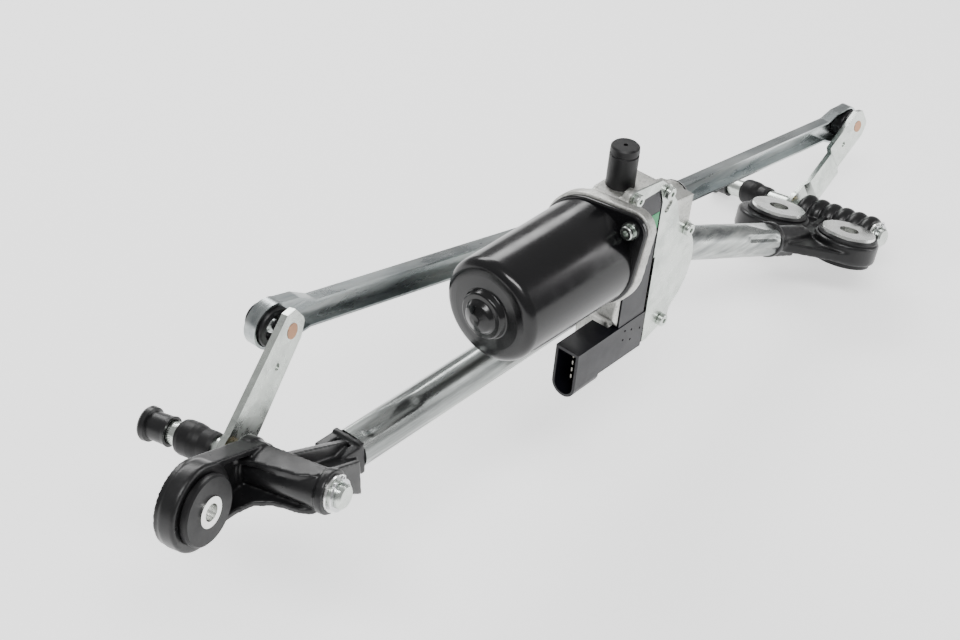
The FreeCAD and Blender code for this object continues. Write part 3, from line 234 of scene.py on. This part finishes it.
MATERIALS = {
    "zinc_bright": zinc("zinc_bright", (0.66, 0.70, 0.66), (0.44, 0.48, 0.45), (0.18, 0.36), spangle=0.5),
    "zinc_tube": tube_zinc(),
    "zinc_rod": rod_zinc(),
    "washer_steel": zinc("washer_steel", (0.86, 0.87, 0.85), (0.70, 0.71, 0.69), (0.16, 0.30)),
    "copper": zinc("copper", (0.46, 0.26, 0.16), (0.30, 0.15, 0.09), (0.30, 0.5), spangle=0.1),
    "black_plastic": moulded("black_plastic", (0.006, 0.006, 0.0065), (0.26, 0.42), shine=0.38),
    "electronics_plastic": moulded("electronics_plastic", (0.005, 0.005, 0.008), (0.28, 0.42)),
    "black_paint": moulded("black_paint", (0.0025, 0.0025, 0.003), (0.16, 0.26), 500.0, 0.00001, 0.42),
    "cast_aluminium": cast("cast_aluminium"),
    "rubber": moulded("rubber", (0.006, 0.006, 0.0065), (0.36, 0.54)),
    "sintered_bronze": zinc("sintered_bronze", (0.56, 0.42, 0.25), (0.40, 0.29, 0.16), (0.35, 0.5)),
    "nylon": moulded("nylon", (0.62, 0.60, 0.53), (0.36, 0.5)),
    "steel": zinc("steel", (0.66, 0.67, 0.68), (0.50, 0.51, 0.52), (0.12, 0.26), spangle=0.0),
    "laminations": zinc("laminations", (0.36, 0.37, 0.38), (0.25, 0.26, 0.27), (0.35, 0.5)),
    "copper_wire": zinc("copper_wire", (0.66, 0.30, 0.13), (0.45, 0.19, 0.08)),
    "ferrite": moulded("ferrite", (0.05, 0.05, 0.055), (0.55, 0.7)),
    "carbon": moulded("carbon", (0.03, 0.03, 0.03), (0.45, 0.6)),
    "board": moulded("board", (0.02, 0.12, 0.05), (0.3, 0.4)),
    "tin": zinc("tin", (0.26, 0.25, 0.23), (0.18, 0.18, 0.17)),
    "green_label": moulded("green_label", (0.01, 0.20, 0.07), (0.25, 0.4)),
}


# ---------------------------------------------------------------- carried-over pieces
# Castings and mouldings with soft edges: voxel size in mm, passes of smoothing.
SOFT_EDGED = {"pivot_housing_left": (0.60, 4), "pivot_housing_right": (0.72, 3), "gear_housing": (0.80, 2)}
EDGE_WIDTH, EDGE_ANGLE = 0.25, 35


def soften_all_over(obj, voxel, passes):
    skin = obj.modifiers.new("skin", "REMESH")
    skin.mode = "VOXEL"
    skin.voxel_size = voxel * MM
    skin.use_smooth_shade = True
    soften = obj.modifiers.new("soften", "SMOOTH")
    soften.factor = 0.5
    soften.iterations = passes


def ease_edges(obj):
    bevel = obj.modifiers.new("edge", "BEVEL")
    bevel.width = EDGE_WIDTH * MM
    bevel.segments = 2
    bevel.limit_method = "ANGLE"
    bevel.angle_limit = math.radians(EDGE_ANGLE)


slot_of = {s["node"]: s["material_slot"] for s in frame["record"]["subparts"]}
for name, obj in frame["nodes"].items():
    obj.data.materials.clear()
    obj.data.materials.append(MATERIALS[slot_of[name]])
    if name in SOFT_EDGED:
        soften_all_over(obj, *SOFT_EDGED[name])
    else:
        ease_edges(obj)


# ---------------------------------------------------------------- mesh helpers
def ring_faces(first, second, count):
    """Quads between two rings of points, given by the numbers of their first points."""
    return [(first + i, first + (i + 1) % count, second + (i + 1) % count, second + i) for i in range(count)]


def closed_rings(rows, count):
    """Quads between neighbouring rings, and from the last ring back to the first."""
    faces = []
    for j in range(rows):
        faces += ring_faces(j * count, (j + 1) % rows * count, count)
    return faces


def mesh_object(name, points, faces, slot_name, sharp_angle=40):
    mesh = bpy.data.meshes.new(name)
    mesh.from_pydata([tuple(p) for p in points], [], faces)
    mesh.validate()
    obj = bpy.data.objects.new(name, mesh)
    bpy.context.collection.objects.link(obj)
    mesh.polygons.foreach_set("use_smooth", [True] * len(mesh.polygons))
    mesh.set_sharp_from_angle(angle=math.radians(sharp_angle))
    mesh.materials.append(MATERIALS[slot_name])
    return obj


def corner_arcs(points, steps=7):
    """Points are (x, y, radius); each corner with a radius becomes an arc."""
    path = []
    for i, (x, y, radius) in enumerate(points):
        corner = Vector((x, y))
        if radius == 0:
            path.append(corner)
            continue
        back = (Vector(points[i - 1][:2]) - corner).normalized()
        ahead = (Vector(points[i + 1][:2]) - corner).normalized()
        half = back.angle(ahead) / 2
        reach = radius / math.tan(half)
        centre = corner + (back + ahead).normalized() * radius / math.sin(half)
        start, end = corner + back * reach - centre, corner + ahead * reach - centre
        sweep = start.angle_signed(end)
        for k in range(steps + 1):
            turn = -sweep * k / steps
            c, n = math.cos(turn), math.sin(turn)
            path.append(centre + Vector((start.x * c - start.y * n, start.x * n + start.y * c)))
    return path


def rounded_outline(circles, step):
    """Convex outline around circles given as (a, b, radius), with a point at every step of degrees."""
    outline = []
    for degree in range(0, 360, step):
        a = math.radians(degree)
        best = max(circles, key=lambda c: c[0] * math.cos(a) + c[1] * math.sin(a) + c[2])
        outline.append((best[0] + best[2] * math.cos(a), best[1] + best[2] * math.sin(a)))
    return outline


# ---------------------------------------------------------------- motor can with smooth drawn corners
can_low, can_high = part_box("motor_can")
CAN_END, CAN_MOUTH = can_low.x / MM, can_high.x / MM
MOTOR_Y, MOTOR_Z = (can_low.y + can_high.y) / 2 / MM, (can_low.z + can_high.z) / 2 / MM
CAN_R, CAN_WALL = 28.5, 1.8
AXIS_R = 0.05  # the profile stops just short of the axis
FACE = CAN_END + 9.0
# The flange is round with an ear at each end of a diagonal.
# The edge of its hole starts within the can's wall.
FLANGE_THICK, FLANGE_R, FLANGE_HOLE_R = 2.5, 29.8, CAN_R - 0.9
EAR, EAR_R = 24.2, 8.8
LIP_OVERLAP = 0.1


def lathe_x(profile, count=144):
    """Points and faces of a closed profile (x, r) turned about the motor's axis."""
    points = []
    for x, r in profile:
        for i in range(count):
            a = 2 * math.pi * i / count
            points.append((x * MM, MOTOR_Y * MM + r * MM * math.cos(a), MOTOR_Z * MM + r * MM * math.sin(a)))
    return points, closed_rings(len(profile), count)


def ring_plate_x(outline, hole_r, x0, x1, edge=0.6):
    """Points and faces of a flat plate across the motor's axis, with eased edges and a round hole."""
    rims = ((x0, 0.97), (x0 + edge * 0.3, 0.99), (x0 + edge, 1.0), (x1 - edge, 1.0), (x1, 0.985))
    bores = (x1, x0)
    points = []
    for x, grow in rims:
        points += [(x * MM, (MOTOR_Y + y * grow) * MM, (MOTOR_Z + z * grow) * MM) for y, z in outline]
    for x in bores:
        for y, z in outline:
            scale = hole_r / math.hypot(y, z)
            points.append((x * MM, (MOTOR_Y + y * scale) * MM, (MOTOR_Z + z * scale) * MM))
    return points, closed_rings(len(rims) + len(bores), len(outline))


def drawn_can():
    """The cup with its stepped end and bearing boss, and the flange with two ears at its mouth."""
    lip = CAN_MOUTH - FLANGE_THICK + LIP_OVERLAP
    outside = corner_arcs([
        (CAN_END, AXIS_R, 0), (CAN_END + 0.3, 3.0, 3.0), (CAN_END + 2.4, 7.6, 2.6),
        (CAN_END + 4.9, 9.1, 0.9), (CAN_END + 5.1, 12.1, 1.2), (FACE - 0.4, 13.2, 0.8),
        (FACE, 19.5, 3.0), (FACE + 1.0, CAN_R - 1.0, 5.6), (lip, CAN_R, 0)])
    inside = [
        (lip, CAN_R - CAN_WALL), (FACE + 9, CAN_R - CAN_WALL), (FACE + 3.2, CAN_R - 8), (FACE + 2.6, 14),
        (CAN_END + 6.6, 7.5), (CAN_END + 6.4, AXIS_R)]
    points, faces = lathe_x([tuple(p) for p in outside] + inside)
    outline = rounded_outline([(0, 0, FLANGE_R), (-EAR, EAR, EAR_R), (EAR, -EAR, EAR_R)], 3)
    flange_points, flange_faces = ring_plate_x(outline, FLANGE_HOLE_R, CAN_MOUTH - FLANGE_THICK, CAN_MOUTH)
    faces += [tuple(len(points) + i for i in face) for face in flange_faces]
    return mesh_object("motor_can_drawn", points + flange_points, faces, "black_paint")


can = drawn_can()
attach(can, "frame")
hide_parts("motor_can")


# ---------------------------------------------------------------- ball studs
# The rivet head in the lever stays copper and the rest of the stud is polished steel.
RIVET_HEAD = 4.5
for name in ("ball_stud_left", "ball_stud_right"):
    stud = frame["nodes"][name]
    stud.data.materials.append(MATERIALS["steel"])
    head_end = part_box(name)[0].y + RIVET_HEAD * MM
    for face in stud.data.polygons:
        if face.center.y > head_end:
            face.material_index = 1


# ---------------------------------------------------------------- frame tube with pressed ends
tube_low, tube_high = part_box("frame_tube")
CAD_TUBE_R = 10.5
TUBE_R, TUBE_WALL = CAD_TUBE_R - 0.05, 1.5
START = Vector((tube_low.x / MM, tube_high.y / MM - CAD_TUBE_R, tube_high.z / MM - CAD_TUBE_R))
# Along the straight part to the corner of the bend, then from the corner to the right mouth.
BEND = START + Vector((260.0, 0.0, 0.0))
END = BEND + Vector((99.5, -11.2, -37.4))
BEND_RADIUS = 60.0
LEFT_STEPS, BEND_STEPS, RIGHT_STEPS = 130, 25, 60
AROUND = 96
# How far the mouths are squeezed, and the distances from each mouth over which that fades out.
SQUEEZE = 1.45
LEFT_FADE, RIGHT_FADE = (8, 34), (10, 30)
# Creases: angle of the middle, half width in radians, start and end from the mouth, depth, which mouth.
CREASES = [(math.radians(112), 0.45, 8, 40, 1.2, "left"), (math.radians(205), 0.30, 4, 46, 1.0, "left"),
           (math.radians(150), 0.28, 3, 34, 1.2, "right"), (math.radians(195), 0.26, 0, 26, 1.1, "right")]


def tube_path():
    """Centre points with their directions: straight, one bend, straight."""
    first, second = (BEND - START).normalized(), (END - BEND).normalized()
    turn = first.angle(second)
    reach = BEND_RADIUS * math.tan(turn / 2)
    middle = BEND + (second - first).normalized() * BEND_RADIUS / math.cos(turn / 2)
    path = []
    straight = (BEND - START).length - reach
    for i in range(LEFT_STEPS + 1):
        path.append((START + first * straight * i / LEFT_STEPS, first))
    inward = (BEND - first * reach - middle).normalized()
    for i in range(1, BEND_STEPS):
        a = turn * i / BEND_STEPS
        out = inward * math.cos(a) + first * math.sin(a)
        path.append((middle + out * BEND_RADIUS, (first * math.cos(a) - inward * math.sin(a)).normalized()))
    last = (END - BEND).length - reach
    for i in range(RIGHT_STEPS + 1):
        path.append((END - second * last * (RIGHT_STEPS - i) / RIGHT_STEPS, second))
    return path


def ease(value, low, high):
    """A smooth step from 0 at low to 1 at high."""
    t = min(1.0, max(0.0, (value - low) / (high - low)))
    return t * t * (3 - 2 * t)


def tube_radius(angle, from_left, from_right):
    """Outer radius: both mouths are squeezed flat and carry pressed creases."""
    flat = max(1 - ease(from_left, *LEFT_FADE), 1 - ease(from_right, *RIGHT_FADE))
    limit = TUBE_R - SQUEEZE * flat
    r = min(TUBE_R, limit / max(abs(math.sin(angle)), 1e-3))
    for centre, width, near, far, depth, mouth in CREASES:
        distance = from_left if mouth == "left" else from_right
        off = math.atan2(math.sin(angle - centre), math.cos(angle - centre))
        along = ease(distance, near - 3, near + 2) * (1 - ease(distance, far - 2, far + 4))
        r -= depth * along * max(0.0, 1 - (off / width) ** 2) ** 2
    return r


def squeezed_tube():
    """The tube's outer and inner skins along the path, joined at both mouths."""
    path = tube_path()
    lengths = [0.0]
    for (a, _), (b, _) in zip(path, path[1:]):
        lengths.append(lengths[-1] + (b - a).length)
    total = lengths[-1]
    points, faces = [], []
    for wall in (0.0, TUBE_WALL):
        for (centre, ahead), length in zip(path, lengths):
            side = Vector((0, 1, 0)).cross(ahead).normalized()
            level = ahead.cross(side).normalized()
            for i in range(AROUND):
                a = 2 * math.pi * i / AROUND
                r = tube_radius(a, length, total - length) - wall
                points.append((centre + level * r * math.cos(a) - side * r * math.sin(a)) * MM)
    rows = len(path)
    for j in range(rows - 1):
        faces += ring_faces(j * AROUND, (j + 1) * AROUND, AROUND)
        faces += [f[::-1] for f in ring_faces((rows + j) * AROUND, (rows + j + 1) * AROUND, AROUND)]
    faces += [f[::-1] for f in ring_faces(0, rows * AROUND, AROUND)]
    faces += ring_faces((rows - 1) * AROUND, (2 * rows - 1) * AROUND, AROUND)
    return mesh_object("frame_tube_pressed", points, faces, "zinc_tube")


tube = squeezed_tube()
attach(tube, "frame")
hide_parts("frame_tube")


# ---------------------------------------------------------------- stage, light and camera
FLOOR_GAP = 0.5
LIGHT_AIM = Vector((0.30, 0.0, -0.02))
WORLD_LOW, WORLD_HIGH, WORLD_STRENGTH = (0.72, 0.72, 0.73, 1), (1, 1, 1, 1), 0.55


def paper_floor():
    """A pale sheet with a glow of its own, just under the lowest piece."""
    low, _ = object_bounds()
    bpy.ops.mesh.primitive_plane_add(size=12, location=(LIGHT_AIM.x, 0, low[2] - FLOOR_GAP * MM))
    floor = bpy.context.object
    floor.name = "floor"
    paper = Shader("floor_paper", Roughness=0.9, Emission_Color=(1, 1, 1, 1), Emission_Strength=0.95)
    paper.colour(paper.ramp(paper.noise(3.0), [(0.3, grey(0.90)), (0.7, grey(0.92))]))
    floor.data.materials.append(paper.material)
    return floor


def studio_world():
    """A white room that is a little darker near and below the horizon."""
    world = bpy.data.worlds.new("studio")
    bpy.context.scene.world = world
    world.use_nodes = True
    sky = world.node_tree
    direction = sky.nodes.new("ShaderNodeTexCoord").outputs["Generated"]
    split = sky.nodes.new("ShaderNodeSeparateXYZ")
    sky.links.new(direction, split.inputs["Vector"])
    shade = sky.nodes.new("ShaderNodeValToRGB")
    shade.color_ramp.elements[0].position = 0.0
    shade.color_ramp.elements[0].color = WORLD_LOW
    shade.color_ramp.elements[1].position = 0.75
    shade.color_ramp.elements[1].color = WORLD_HIGH
    sky.links.new(split.outputs["Z"], shade.inputs["Fac"])
    sky.links.new(shade.outputs["Color"], sky.nodes["Background"].inputs["Color"])
    sky.nodes["Background"].inputs["Strength"].default_value = WORLD_STRENGTH


def softbox(name, place, size, power):
    data = bpy.data.lights.new(name, "AREA")
    data.shape = "RECTANGLE"
    data.size, data.size_y = size
    data.energy = power
    lamp = bpy.data.objects.new(name, data)
    lamp.location = place
    lamp.rotation_euler = (LIGHT_AIM - Vector(place)).to_track_quat("-Z", "Y").to_euler()
    bpy.context.collection.objects.link(lamp)


def photo_camera(place, back, near_up, lens):
    """A camera at a place, looking against back, turned so that near_up is about upward."""
    back = back.normalized()
    right = near_up.cross(back).normalized()
    data = bpy.data.cameras.new("camera")
    data.sensor_width = 36
    data.lens = lens
    camera = bpy.data.objects.new("camera", data)
    turn = Matrix((right, back.cross(right), back)).transposed().to_4x4()
    camera.matrix_world = Matrix.Translation(place) @ turn
    bpy.context.collection.objects.link(camera)
    bpy.context.scene.camera = camera


floor = paper_floor()
studio_world()
softbox("key", (-0.5, -0.5, 1.5), (1.3, 0.35), 26)
softbox("rim", (0.9, 1.3, 1.0), (1.4, 0.5), 20)
softbox("side", (1.5, -1.1, 0.35), (0.3, 1.2), 9)
photo_camera(place=Vector((-0.3466, -0.4174, 0.5099)), back=Vector((-0.631, -0.493, 0.599)),
             near_up=Vector((0.412, 0.443, 0.797)), lens=63.75)
